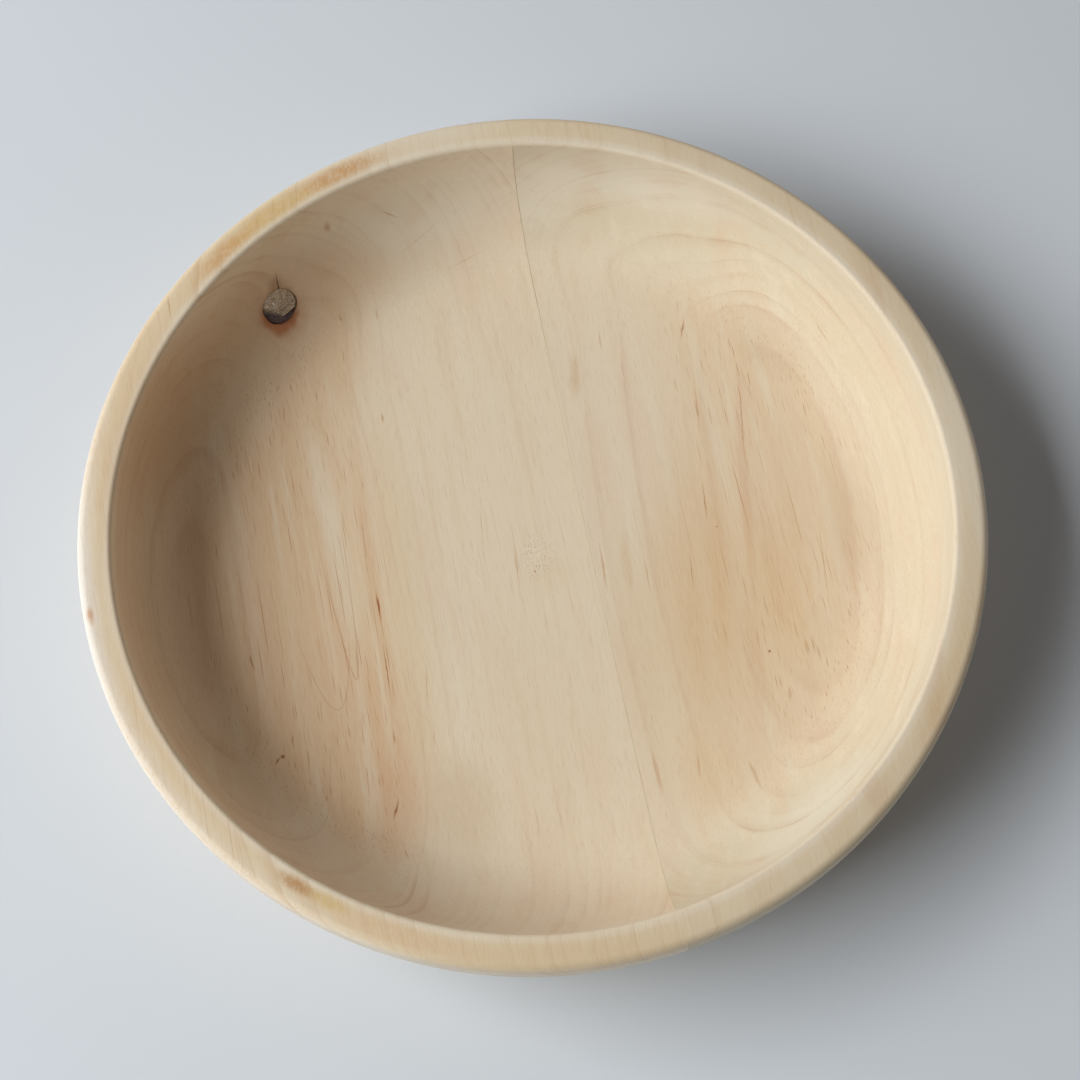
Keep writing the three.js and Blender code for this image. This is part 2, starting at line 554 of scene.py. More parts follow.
def pith_distance(tree, place, board):
    """Distance of each point from the board's pith in millimetres, and its place round the pith."""
    apart = add_node(tree, "SeparateXYZ", {0: place})
    offsets = []
    for axis, (start, slope, bend) in zip("XZ", board["pith"]):
        drift = add_node(tree, "Math", {0: apart.outputs["Y"], 1: bend, 2: slope}, operation="MULTIPLY_ADD")
        at = add_node(tree, "Math", {0: apart.outputs["Y"], 1: drift, 2: start}, operation="MULTIPLY_ADD")
        offset = add_node(tree, "Math", {0: apart.outputs[axis], 1: at}, operation="SUBTRACT")
        offsets.append(offset)
    across = add_node(tree, "CombineXYZ", {"X": offsets[0], "Z": offsets[1]})
    distance = add_node(tree, "VectorMath", {0: across}, operation="LENGTH")
    for middle, reach, swell in board["swells"]:
        own = add_node(
            tree, "Mapping", {"Vector": place, "Location": middle, "Scale": reach}, vector_type="TEXTURE",
        )
        squared = add_node(tree, "VectorMath", {0: own, 1: own}, operation="DOT_PRODUCT")
        fade = add_node(tree, "Math", {0: 1 / math.e, 1: squared}, operation="POWER")
        distance = add_node(tree, "Math", {0: fade, 1: swell, 2: distance}, operation="MULTIPLY_ADD")
    wander = along_grain(tree, place, 1 / 0.035, 125)
    centred = add_node(tree, "Math", {0: wander, 1: 0.5}, operation="SUBTRACT")
    distance = add_node(
        tree, "Math", {0: centred, 1: board["wander"], 2: distance}, operation="MULTIPLY_ADD",
    )
    angle = add_node(tree, "Math", {0: offsets[0], 1: offsets[1]}, operation="ARCTAN2")
    arc = add_node(tree, "Math", {0: angle, 1: usual_pith_distance}, operation="MULTIPLY")
    round_pith = add_node(tree, "CombineXYZ", {"X": arc, "Y": apart.outputs["Y"], "Z": distance})
    return distance, round_pith


# %% [markdown]
# A ring is pale where the tree grew fast in spring. It darkens slowly to a thin line in late summer and
# starts pale again at once. Years differ, so each gets its own strength from a random number, and the rings
# that catch the eye on this bowl are placed by their distance from the pith.

# %% Tone of the rings
def common_rings(tree, distance, ring_width):
    """Tone of the ordinary years: 0 in spring, up to 1 at the end of a dark summer."""
    uneven = add_node(tree, "TexNoise", {"W": distance, "Scale": 0.11, "Detail": 1}, noise_dimensions="1D")
    years = add_node(tree, "Math", {0: distance, 1: 1 / ring_width}, operation="MULTIPLY")
    years = add_node(tree, "Math", {0: uneven, 1: 1.6, 2: years}, operation="MULTIPLY_ADD")
    year = add_node(tree, "Math", {0: years}, operation="FLOOR")
    season = add_node(tree, "Math", {0: years}, operation="FRACT")
    chance = add_node(tree, "TexWhiteNoise", {"W": year}, noise_dimensions="1D")
    summer = amount(tree, (season, 0.3, 0.95, 0, 0.45))
    line = amount(tree, (season, 0.86, 0.95, 0, 0.55))
    tone = add_node(tree, "Math", {0: summer, 1: line})
    return amount(tree, tone, (season, 0.96, 1, 1, 0), chance)


def clear_rings(tree, distance, board):
    """Tone of the rings that stand out, each a soft rise and a sharp end at its own distance."""
    low, high = board["ring_range"]
    share = add_node(tree, "MapRange", {"Value": distance, "From Min": low, "From Max": high})
    ramp = add_node(tree, "ValToRGB", {"Fac": share})
    stops = ramp.color_ramp.elements
    stops.remove(stops[1])
    stops[0].position, stops[0].color = 0, (0, 0, 0, 1)
    for at, strength, rise in board["clear_rings"]:
        for offset, level in ((-rise, 0), (-0.1 * rise, strength), (0.08 * rise, 0)):
            stop = stops.new((at + offset - low) / (high - low))
            stop.color = (level, level, level, 1)
    return ramp


# %% [markdown]
# ## Fibres, threads, rays and flecks
#
# Between the rings the wood is drawn out along the grain. Fibres make fine streaks, threads of darker cells
# make long hairlines, and broad streaks come from the board's own colour. All are patterns stretched along
# Y, so they turn into dots by themselves on the far and near walls, where the bowl shows end grain. Rays are
# plates of cells that stand on the pith like the spokes of a wheel, so their dashes are drawn in places
# measured round the pith. Each dash sits in a cell of a Voronoi pattern and fades from the cell's middle.
#
# Pith flecks are brown scars that an insect left under the bark. Each one is a long thin ellipsoid: a
# Mapping node set to Texture carries the point into the ellipsoid's own frame, where its length says how
# near to the middle it is. A little noise sways the places sideways, which frays the outlines.

# %% Streaks and scars
def dashes(tree, place, width, length, depth, reach):
    """Thin dashes along the grain, one in each cell that the surface cuts through its middle."""
    stretched = add_node(tree, "Mapping", {"Vector": place, "Scale": (1 / width, 1 / length, 1 / depth)})
    cells = add_node(tree, "TexVoronoi", {"Vector": stretched, "Scale": 1})
    draw = add_node(tree, "SeparateXYZ", {0: cells.outputs["Color"]})
    return amount(tree, (cells.outputs["Distance"], reach, 0.3 * reach), draw.outputs["X"])


def inside_of(tree, place, middle, reach, turn=0):
    """How far a point is from the middle of an ellipsoid: 0 in the middle, 1 on its skin."""
    own = add_node(
        tree, "Mapping",
        {"Vector": place, "Location": middle, "Rotation": (0, 0, math.radians(turn)), "Scale": reach},
        vector_type="TEXTURE",
    )
    return add_node(tree, "VectorMath", {0: own}, operation="LENGTH")


def swayed(tree, place):
    """Places pushed a little sideways by noise."""
    noise = along_grain(tree, place, 1 / 1.2, 1 / 0.36)
    sway = add_node(
        tree, "VectorMath",
        {0: noise.outputs["Color"], 1: (0.9, 0, 0), 2: (-0.45, 0, 0)}, operation="MULTIPLY_ADD",
    )
    return add_node(tree, "VectorMath", {0: place, 1: sway})


def scars(tree, place, marks):
    """The strongest of a list of long thin marks at each point, from 0 to 1."""
    strongest = 0
    for middle, half_length, half_width, turn, strength in marks:
        apart = inside_of(tree, place, middle, (half_width * 1.4, half_length * 1.3, 7), turn)
        here = amount(tree, (apart, 1, 0.1, 0, strength))
        strongest = add_node(tree, "Math", {0: here, 1: strongest}, operation="MAXIMUM")
    return strongest


def loops(tree, place, curves):
    """Thin lines that turn back like a hairpin. A parabola gives the shape, and its arms fade out."""
    strongest = 0
    for tip, turn, spread, arms, strength in curves:
        own = add_node(
            tree, "Mapping",
            {"Vector": place, "Location": tip, "Rotation": (0, 0, math.radians(turn))}, vector_type="TEXTURE",
        )
        apart = add_node(tree, "SeparateXYZ", {0: own})
        across, along = apart.outputs["X"], apart.outputs["Y"]
        squared = add_node(tree, "Math", {0: across, 1: across}, operation="MULTIPLY")
        curve = add_node(tree, "Math", {0: squared, 1: -1 / spread, 2: along}, operation="MULTIPLY_ADD")
        steep = add_node(tree, "Math", {0: squared, 1: 4 / spread ** 2, 2: 1}, operation="MULTIPLY_ADD")
        steep = add_node(tree, "Math", {0: steep, 1: 0.5}, operation="POWER")
        off = add_node(tree, "Math", {0: curve, 1: steep}, operation="DIVIDE")
        off = add_node(tree, "Math", {0: off}, operation="ABSOLUTE")
        line = amount(tree, (off, 0.32, 0.05, 0, strength), (along, arms, 0.3 * arms))
        strongest = add_node(tree, "Math", {0: line, 1: strongest}, operation="MAXIMUM")
    return strongest


# %% [markdown]
# ## Bare sanded birch
#
# Both boards are a pale close-grained hardwood such as birch, turned and sanded but not oiled. It looks
# creamy and matt, with a faint silky sheen. The colours are layered as on a painted panel: cream first, then
# the warmer zone near the pith, the broad streaks and patches, the rim, the rings, the fibres, the threads
# and rays, and last the scars. The walls are paler than the floor and paler still towards the rim, which is
# painted light. The top of the rim is a little yellower with a pale inner edge. Rings show best on the
# walls, which cut them at a slant.

# %% Wood of a board
def polar_place(tree, place):
    """Each point's angle round the bowl in degrees, its distance from the axis and its height."""
    apart = add_node(tree, "SeparateXYZ", {0: place})
    angle = add_node(tree, "Math", {0: apart.outputs["Y"], 1: apart.outputs["X"]}, operation="ARCTAN2")
    flat = add_node(tree, "VectorMath", {0: place, 1: (1, 1, 0)}, operation="MULTIPLY")
    radius = add_node(tree, "VectorMath", {0: flat}, operation="LENGTH")
    degrees = add_node(tree, "Math", {0: angle}, operation="DEGREES")
    polar = add_node(tree, "CombineXYZ", {"X": degrees, "Y": radius, "Z": apart.outputs["Z"]})
    return polar, radius, apart.outputs["Z"]


def patches(tree, colour, place, spots, share=1):
    """Soft-edged patches of other tones, each an ellipsoid."""
    for middle, reach, turn, strength, tone in spots:
        near = (inside_of(tree, place, middle, reach, turn), 1, 0.2, 0, strength)
        colour = lay_over(tree, colour, tone, near, share)
    return colour


def bare_tones(tree, place, distance, height, board):
    """Cream wood, walls painted paler towards the rim as painted light, and the warmer zone near the pith."""
    broad = along_grain(tree, place, 4, 150)
    wall = amount(tree, (height, 12, 20), (height, 49.8, 48.4))
    # Painted light: the walls' tone grows paler from 24 to 40 mm up, standing in for light on the upper
    # walls.
    low, high = board["wall"]
    painted_light_wall_tone = lay_over(tree, low, high, (height, 24, 40))
    colour = lay_over(tree, board["cream"], painted_light_wall_tone, wall)
    within = board["warm_within"]
    near_pith = (distance, within + 14, within - 10)
    warmth = amount(tree, near_pith, (broad, 0.25, 0.7, 0.65, 1), (wall, 0, 1, 1, 0.4))
    colour = lay_over(tree, colour, board["warm"], warmth)
    colour = lay_over(tree, colour, "#DFC39B", (broad, 0.54, 0.74, 0, 0.22))
    colour = lay_over(tree, colour, "#EEE0C6", (broad, 0.46, 0.28, 0, 0.4))
    return patches(tree, colour, place, board["patches"]), warmth


def rim_tones(tree, place, colour, board):
    """The rim's top is a little yellower than the bowl. Stains lie along it in polar places, and a painted
    highlight on its left outer edge.
    """
    polar, radius, height = polar_place(tree, place)
    on_rim = amount(tree, (height, 47, 49.6))
    colour = lay_over(tree, colour, "#DEC598", (radius, 126.6, 128.2, 0, 0.4), on_rim)
    colour = lay_over(tree, colour, "#EBDFC8", (radius, 127.2, 126.2, 0, 0.3), on_rim)
    # The rim's lists also hold a painted highlight: pale colour along the left outer edge of the rim.
    colour = patches(tree, colour, place, board["rim_patches"])
    speckle = amount(tree, (along_grain(tree, place, 0.9, 1.4), 0.35, 0.6, 0.65, 1))
    return patches(tree, colour, polar, board["rim_stains_and_highlights"], speckle)


def board_wood(name, board):
    """The whole material of a board, from the cream below to the scars on top."""
    material, tree, place = new_material(name)
    distance, round_pith = pith_distance(tree, place, board)
    height = add_node(tree, "SeparateXYZ", {0: place}).outputs["Z"]
    colour, warmth = bare_tones(tree, place, distance, height, board)
    patchy = along_grain(tree, place, 12, 60)
    colour = lay_over(tree, colour, "#E6C5A6", (patchy, 0.48, 0.72, 0, 0.24))
    colour = rim_tones(tree, place, colour, board)

    calm_middle, calm_reach, calmest = board["calm"]
    from_calm = inside_of(tree, place, calm_middle, calm_reach)
    here_and_there = amount(tree, (patchy, 0.35, 0.65, 0.3, 1), (from_calm, 0.4, 1, calmest, 1))
    common = common_rings(tree, distance, board["ring_width"])
    common = amount(tree, common, here_and_there, (height, 11, 20, 0.08, 0.36))
    clear = clear_rings(tree, distance, board)
    clear = amount(tree, clear, here_and_there, (height, 11, 20, 0.2, board["wall_rings"]))
    colour = lay_over(tree, colour, "#BD9566", common)
    colour = lay_over(tree, colour, "#BE8655", clear)

    fibres = along_grain(tree, place, 0.32, 5, 3)
    colour = lay_over(tree, colour, "#C39C6C", (fibres, 0.5, 0.78, 0, 0.2))
    colour = lay_over(tree, colour, "#F3E8D2", (fibres, 0.5, 0.25, 0, 0.16))
    threads = dashes(tree, place, 0.55, 72, 0.55, 0.3)
    rays = dashes(tree, round_pith, 0.8, 24, 16, 0.22)
    grain = add_node(tree, "Math", {0: threads, 1: amount(tree, rays, 0.45)}, operation="MAXIMUM")
    colour = lay_over(tree, colour, "#B8783A", grain, (warmth, 0, 1, 0.2, 0.9))
    colour = lay_over(tree, colour, "#B26E30", loops(tree, place, board["loops"]))
    frayed = swayed(tree, place)
    flecks = scars(tree, frayed, board["flecks"])
    fleck_tone = lay_over(tree, "#D19A54", "#96562A", flecks)
    colour = lay_over(tree, colour, fleck_tone, flecks)
    colour = lay_over(tree, colour, "#F4E8D2", scars(tree, frayed, board["scratches"]))
    if "knot" in board:
        colour = torn_grain(tree, place, colour)
        colour = rust_round_knot(tree, place, colour)

    relief = add_node(tree, "Math", {0: fibres, 1: 0.6, 2: grain}, operation="MULTIPLY_ADD")
    roughness = amount(tree, (fibres, 0.2, 0.8, 0.55, 0.68))
    add_shader(tree, colour, roughness, relief, -0.02)
    return material


# %% [markdown]
# In the middle of the floor the tool turns on the spot and tears the grain instead of cutting it. Small
# pale and dark ticks are left there, with a yellow blot beside them.

# %% Torn grain
def torn_grain(tree, place, colour):
    ticks = along_grain(tree, place, 0.35, 0.9, 1)
    near = amount(tree, (inside_of(tree, place, (1, 0, 8.6), (7.5, 11, 5)), 1, 0.2))
    colour = patches(tree, colour, place, [((4, -7, 8.6), (12, 9, 5), 0, 0.14, "#DDBF88")])
    colour = lay_over(tree, colour, "#FAF0DC", near, (ticks, 0.58, 0.68, 0, 0.45))
    return lay_over(tree, colour, "#9C7E55", near, (ticks, 0.4, 0.3, 0, 0.5))


# %% [markdown]
# Rust-coloured resin has bled from the bark into the wood, most of it below the knot. It is measured in the
# knot's own frame, and its length along the knot's axis is left out by a very long scale.

# %% Stain round the knot
through_the_wall = 90


def rust_round_knot(tree, place, colour):
    ragged = add_node(tree, "TexNoise", {"Vector": place, "Scale": 0.25, "Detail": 1.5})
    ragged = amount(tree, (ragged, 0.3, 0.7, -0.07, 0.07))
    layers = (
        ((2.2, -1.4, 0), (12, 11.5), 0.3, 0.55, "#BF7F4C"),
        ((3.5, -2.3, 0), (7, 7), 0.55, 0.68, "#B8673A"),
        ((-5.8, 2.9, 0), (4.4, 4.4), 0.1, 0.42, "#9C6240"),
        ((0.75, 0, 0), (7.1, 7.1), 0.78, 0.34, "#8E5C3E"),
    )
    for middle, reach, full, strength, stain in layers:
        centre = knot_frame @ (Vector(middle) * mm) / mm
        own = add_node(
            tree, "Mapping",
            {
                "Vector": place, "Location": centre, "Rotation": knot_frame.to_euler(),
                "Scale": (*reach, through_the_wall),
            },
            vector_type="TEXTURE",
        )
        apart = add_node(tree, "VectorMath", {0: own}, operation="LENGTH")
        frayed = add_node(tree, "Math", {0: apart, 1: ragged})
        colour = lay_over(tree, colour, stain, (frayed, 1, full, 0, strength))
    return colour


# %% [markdown]
# The left board's pith lay below its left edge. A long swell runs along the grain below the knot, and where
# the floor cuts it the lines turn back in narrow loops.
#
# Whatever can be told apart on the real board has a row of its own. The pith has a start, a slope and a
# bend along Y, for its X and for its Z. A swell has a middle, a reach and a push. A clear ring has its
# distance from the pith, its strength and the width of its rise. A patch, a stain or a painted highlight has
# a middle, a reach, a turn, a strength and a colour, and on the rim a stain's or a painted highlight's middle
# is degrees round the bowl, radius and height.
# A loop has a tip, a turn, a spread, the length of its arms and a strength. A fleck or a scratch has a
# middle, half its length, half its width, a turn and a strength.

# %% Left board
knot_place = tuple(side / mm for side in knot_middle)
left_birch = board_wood("bare_sanded_birch_left", {
    "knot": True,
    "pith": ((-135.7, 0.006, -0.00033), (-48.6, 0.005, 0.00066)),
    "swells": [
        (knot_place, (14, 9, 14), 6),
        ((-57.2, -12, 10.8), (13.4, 64, 25), -14.2),
        ((-42, 97, 16), (10, 18, 12), -4.8),
        ((-50, -95.5, 14), (10, 15, 12), 3.3),
    ],
    "wander": 1.2,
    "ring_width": 3.4,
    "ring_range": (60, 190),
    "clear_rings": [
        (72.5, 0.6, 1.8), (76, 0.8, 1.4), (93.4, 0.5, 1.5), (105.5, 0.7, 1.5), (109.7, 0.4, 2),
        (116.3, 0.5, 1.5), (133.5, 0.4, 1.5), (142.2, 0.4, 1), (151.3, 0.4, 1),
    ],
    "warm_within": 96,
    # Wall tones low and high on the wall; the paler upper tone is painted light.
    "wall": ("#EED9BC", "#F7E8D1"),
    "cream": "#EDDBBE",
    "warm": "#E2C098",
    "wall_rings": 0.36,
    "calm": ((-20, 115, 25), (45, 25, 25), 0.72),
    "patches": [
        ((-42, 0, 10), (11, 95, 12), -2, 0.35, "#E2C497"),
        ((-106, 57, 33), (23, 50, 28), -30, 0.55, "#D6AB7F"),
        ((-70, 92, 26), (34, 34, 26), -40, 0.4, "#E3BD94"),
        ((-49, 84, 13), (14, 38, 12), -6, 0.42, "#DDB384"),
        ((-52, -52, 11), (18, 36, 8), 0, 0.22, "#D9B083"),
        ((-49.5, 30, 10), (3.5, 66, 10), -3, 0.2, "#D6A678"),
        ((-60, 6, 10.5), (7, 40, 12), 3, 0.6, "#ECDDC0"),
        ((-61, 34, 11), (7, 32, 10), 4, 0.45, "#F0E3CA"),
        ((-77, 66, 15), (9, 26, 10), -20, 0.4, "#F0DABA"),
        ((-56, -70, 12.5), (11, 26, 8), -4, 0.35, "#D9A77C"),
        # Painted light: a pale patch that brightens the upper far wall.
        ((-10, 118, 30), (52, 15, 26), 8, 0.55, "#F7EDD8"),
        ((-25, -112, 24), (50, 14, 16), 0, 0.35, "#E6D6BA"),
        ((-36, -74, 12), (16, 22, 7), 0, 0.4, "#D5BA94"),
        ((-122, 0, 34), (10, 60, 20), 0, 0.35, "#E8C9A4"),
        ((-43, 104, 20), (26, 18, 14), -20, 0.35, "#E0B687"),
        # Painted light: a pale patch that brightens the near-left wall.
        ((-85, -81, 24), (34, 15, 16), -46, 0.55, "#FAE6CE"),
        ((-8, -60, 10), (30, 60, 6), 0, 0.2, "#E4CBA6"),
        ((-107, -4, 18), (13, 66, 12), 0, 0.5, "#F0CFB2"),
    ],
    "rim_patches": [
        # Painted highlight: pale colour along the left outer edge of the rim.
        ((-135, -10, 47), (8, 118, 8), 0, 0.7, "#F1EBE1"),
        ((-20, 130, 50), (60, 9, 6), 7, 0.4, "#F0E6D6"),
        ((-20, -130, 50), (80, 9, 6), -7, 0.4, "#DDBE92"),
    ],
    "rim_stains_and_highlights": [
        # Painted highlight: these two rows pale the left outer edge of the rim.
        ((-180, 135, 47), (75, 8, 9), 0, 0.6, "#F5F0E9"),
        ((180, 135, 47), (45, 8, 9), 0, 0.6, "#F5F0E9"),
        ((-118, 130, 50), (16, 5, 5), 0, 0.4, "#DDAF7C"),
        ((117, 129.8, 50), (30, 5, 4), 0, 0.5, "#DDB67C"),
        ((107, 129.6, 50), (9, 4.4, 4), 0, 0.65, "#CC9150"),
        ((118, 129.2, 50), (10, 4.2, 4), 0, 0.6, "#DAB56E"),
        ((126.5, 129, 50), (7, 4, 4), 0, 0.6, "#D39C5A"),
        ((-131.5, 128.6, 50), (4, 3, 4), 0, 0.8, "#B8834A"),
        ((-127, 128.4, 50), (4, 3, 4), 0, 0.6, "#D6B264"),
        ((-177, 132.5, 50), (1.8, 1.6, 4), 0, 0.7, "#C4834A"),
    ],
    "loops": [
        ((-61.2, -29.2, 10.8), 1, 0.35, 60, 0.34),
        ((-68.2, -38, 11.4), 2, 2.6, 32, 0.25),
    ],
    "flecks": [
        ((-50.7, -6.9, 9.8), 5.5, 0.41, -1, 1),
        ((-51.6, -28, 10.2), 9.7, 0.25, -2, 0.9),
        ((-51.6, 14, 9.9), 14, 0.14, -3, 0.6),
        ((-52.9, -50, 11), 2.4, 0.28, -6, 0.6),
        ((-56, -72.2, 12.5), 3.5, 0.47, -22, 0.9),
        ((-91.9, -18.1, 12.7), 2.9, 0.34, 6, 0.9),
        ((-47.6, 79, 12.6), 2.6, 0.28, -6, 0.5),
        ((-48.4, 69.5, 11.9), 2.5, 0.25, -2, 0.4),
        ((-34.4, 91.4, 13.1), 2.1, 0.31, -1, 0.5),
        ((-46.3, 91.8, 14.2), 1.4, 0.28, 10, 0.6),
        ((-38.8, 55.6, 10.7), 2, 0.31, 4, 0.6),
        ((-48.9, 34.4, 10.3), 2.3, 0.23, 3, 0.5),
        ((-44.8, 114.5, 34.1), 1.3, 0.78, -69, 0.5),
        ((-24.3, 118.2, 28.8), 2.9, 0.2, 76, 0.5),
        ((-63.2, -22, 10.8), 11, 0.16, 2, 0.6),
        ((-15.2, -83.1, 11.9), 6, 0.25, 0, 0.35),
        ((-40.3, -35.3, 9.9), 8.4, 0.19, -8, 0.45),
        ((-40.9, -51.8, 10.6), 2.9, 0.22, -7, 0.5),
        ((-8.2, -84.8, 12), 6.4, 0.23, 2, 0.3),
        ((-14.2, 13.4, 8.7), 7.3, 0.2, -4, 0.35),
        ((-5.8, -1.5, 8.6), 8.4, 0.3, -4, 0.4),
        ((-0.5, -4.9, 8.6), 0.45, 0.35, 0, 0.8),
        ((-86.9, -49.7, 13.5), 0.8, 0.8, 60, 1),
        ((-88.6, -51, 13.7), 1.6, 0.3, -30, 0.9),
        ((-83.3, -44.8, 12.8), 2.2, 0.25, -4, 0.6),
        ((-55.2, -86.3, 14.1), 2.1, 0.31, 12, 0.5),
        ((-96.6, 88, 50), 3.5, 0.3, 0, 0.6),
        ((-2.4, 104.4, 15), 10, 0.2, -73, 0.25),
        ((-15, 113, 20.6), 9, 0.2, -63, 0.22),
    ],
    "scratches": [
        ((-19, -2.9, 8.7), 6.1, 0.2, 23.6, 0.7),
        ((-15.3, -16.1, 8.8), 7.8, 0.2, 9.6, 0.6),
    ],
})

# %% [markdown]
# The right board's pith lay under the middle of its floor, so the warm wood near the pith shows as an oval
# there, with the rings round it like the contour lines of a hill.

# %% Right board
right_birch = board_wood("bare_sanded_birch_right", {
    "pith": ((91.2, 0.053, 0.000075), (-46.6, 0.01, -0.000158)),
    "swells": [
        ((75.7, 86, 18), (18, 14, 14), 4.8),
        ((74, -48.5, 16), (20, 16, 14), -2),
        ((31, 102, 20), (15, 20, 14), -7.7),
    ],
    "wander": 1.6,
    "ring_width": 4.6,
    "ring_range": (50, 130),
    "clear_rings": [
        (61.9, 0.9, 1.6), (66.1, 0.6, 2), (72.5, 0.4, 2), (79.1, 0.6, 1.6), (88.5, 0.7, 1.4),
        (94, 0.4, 1.6), (99.8, 0.7, 1.4),
    ],
    "warm_within": 67,
    # Wall tones low and high on the wall; the paler upper tone is painted light.
    "wall": ("#E2D3B6", "#E3D7BF"),
    "cream": "#EBD9BD",
    "warm": "#E8CDAA",
    "wall_rings": 0.27,
    "calm": ((120, -20, 30), (30, 85, 30), 0.45),
    "patches": [
        ((50, -20, 10), (24, 62, 9), -6, 0.42, "#DFB989"),
        ((46, -46, 9.6), (48, 66, 6), -4, 0.4, "#E3C59B"),
        ((25, -45, 10), (9, 66, 6), -2, 0.2, "#DFC196"),
        ((25, 58, 10), (2.5, 11, 10), -9, 0.32, "#C8965E"),
        ((69.5, 5, 11), (2.6, 46, 6), -8, 0.3, "#D09A6C"),
        ((60, -52, 11), (4, 30, 6), -6, 0.22, "#D3A06A"),
        ((28.5, -8, 9), (2, 16, 6), -6, 0.25, "#CFA26C"),
        # Painted light: the next two pale patches brighten the upper far wall.
        ((48, 112, 38), (62, 16, 16), -22, 0.6, "#F4ECDC"),
        ((22, 118, 30), (24, 14, 26), 0, 0.65, "#F5EAD6"),
        ((44, -34, 10), (6, 46, 8), -7, 0.14, "#D9A565"),
        ((55, -20, 10), (4, 52, 8), -9, 0.16, "#D8A363"),
        ((74, -24, 11), (14, 40, 8), -6, 0.35, "#E2BB84"),
        ((38, -80, 12), (16, 24, 9), 0, 0.35, "#E2BC88"),
        ((64, -101, 29), (38, 15, 17), 33, 0.8, "#E7E0CC"),
        ((112, 15, 28), (22, 80, 30), 0, 0.3, "#DCC6A2"),
        ((101, -14, 15), (13, 34, 9), 0, 0.45, "#D2BC99"),
        ((89, 56, 15), (12, 28, 9), 33, 0.45, "#D2BC99"),
    ],
    "rim_patches": [
        ((70, 122, 50), (70, 9, 6), -30, 0.4, "#F0E6D6"),
        ((131, -20, 50), (8, 90, 6), 0, 0.35, "#F2E8D8"),
    ],
    "rim_stains_and_highlights": [
        ((-35, 131, 50), (14, 3, 4), 0, 0.3, "#D9B47C"),
    ],
    "loops": [],
    "flecks": [
        ((62.7, 66.8, 12.5), 3.5, 0.28, -20, 0.8),
        ((104.4, 51.6, 22.9), 4.8, 0.22, 21, 0.5),
        ((74.4, 31.7, 11.6), 17.2, 0.25, -9, 0.5),
        ((61.3, 38.2, 11), 10.4, 0.22, -7, 0.45),
        ((35.6, 68.4, 11.4), 3.9, 0.31, -2, 0.35),
        ((40.7, 57.2, 10.9), 4, 0.22, -5, 0.45),
        ((56.8, 7.2, 10.1), 6.6, 0.28, -6, 0.7),
        ((58.6, -2, 10.2), 0.45, 0.45, 0, 0.7),
        ((20.8, -7.7, 8.7), 8.3, 0.4, -3, 0.5),
        ((33.8, -12.7, 9.2), 6.1, 0.31, -3, 0.45),
        ((47.6, -15, 9.7), 6.7, 0.25, -6, 0.6),
        ((65.2, -45.7, 11.5), 0.5, 0.5, 0, 1),
        ((88.1, -22.5, 12.5), 15.7, 0.19, -7, 0.5),
        ((23.1, -76.6, 11.6), 8.4, 0.75, 1, 0.42),
        ((35.8, -76.7, 11.9), 4.6, 0.45, -7, 0.38),
        ((51.7, -83.3, 13.2), 5.6, 0.6, 10, 0.4),
        ((10.3, 108.1, 16.8), 7, 0.2, -75, 0.3),
    ],
    "scratches": [
        ((84, -30, 12.4), 9, 0.16, -38, 0.3),
    ],
})
print(len(left_birch.node_tree.nodes), "and", len(right_birch.node_tree.nodes), "nodes in the boards' wood")

# %% [markdown]
# ## Dried glue
#
# White wood glue dries to a hard amber film that is smoother than the wood beside it. It shows as a darker
# hairline on the far wall, and where the boards were pressed together best, on the floor, it takes the
# wood's own colour.

# %% Glue
def dried_glue():
    material, tree, place = new_material("dried_wood_glue")
    uneven = along_grain(tree, place, 2, 9)
    colour = lay_over(tree, "#D3C19C", "#BCA67E", (uneven, 0.35, 0.7))
    apart = add_node(tree, "SeparateXYZ", {0: place})
    along = apart.outputs["Y"]
    thin = amount(tree, (along, 95, 50, 0, 0.85), (along, -60, -15, 0.45, 1))
    on_rim = amount(tree, (apart.outputs["Z"], 46, 49, 0, 0.8))
    thin = add_node(tree, "Math", {0: thin, 1: on_rim}, operation="MAXIMUM")
    colour = lay_over(tree, colour, "#E6D3B1", thin)
    add_shader(tree, colour, amount(tree, (uneven, 0.3, 0.7, 0.4, 0.55)), uneven, -0.02)
    return material


# %% [markdown]
# ## Dead wood and bark
#
# The dead knot is weathered end grain, grey-brown and dull, and painted shade darkens it towards the edge
# where it has split away beside the bark. The bark is black-brown and soaks up the light. Both are rough at a
# tenth of a millimetre, which a bump gives on top of the skin that was displaced before.

# %% Knot and bark
def weathered_knot():
    material, tree, place = new_material("weathered_dead_knot")
    own = add_node(
        tree, "Mapping",
        {"Vector": place, "Location": knot_place, "Rotation": knot_frame.to_euler()}, vector_type="TEXTURE",
    )
    grain = add_node(tree, "TexNoise", {"Vector": own, "Scale": 1.6, "Detail": 4, "Roughness": 0.7})
    blotch = add_node(tree, "TexNoise", {"Vector": own, "Scale": 0.35, "Detail": 1})
    colour = lay_over(tree, "#E0CBB0", "#A8937B", (grain, 0.35, 0.7))
    colour = lay_over(tree, colour, "#E8D8C0", (blotch, 0.5, 0.75, 0, 0.6))
    # Painted shade: the knot's face darkens towards its split edge, where it slopes down into shadow.
    down = add_node(tree, "VectorMath", {0: own, 1: (0.55, -0.835, 0)}, operation="DOT_PRODUCT")
    edge = add_node(tree, "Math", {0: grain, 1: 1.2, 2: down}, operation="MULTIPLY_ADD")
    colour = lay_over(tree, colour, "#5C5153", (edge, 2.6, 4.4, 0, 0.9))
    add_shader(tree, colour, 0.85, grain, -0.15)
    return material


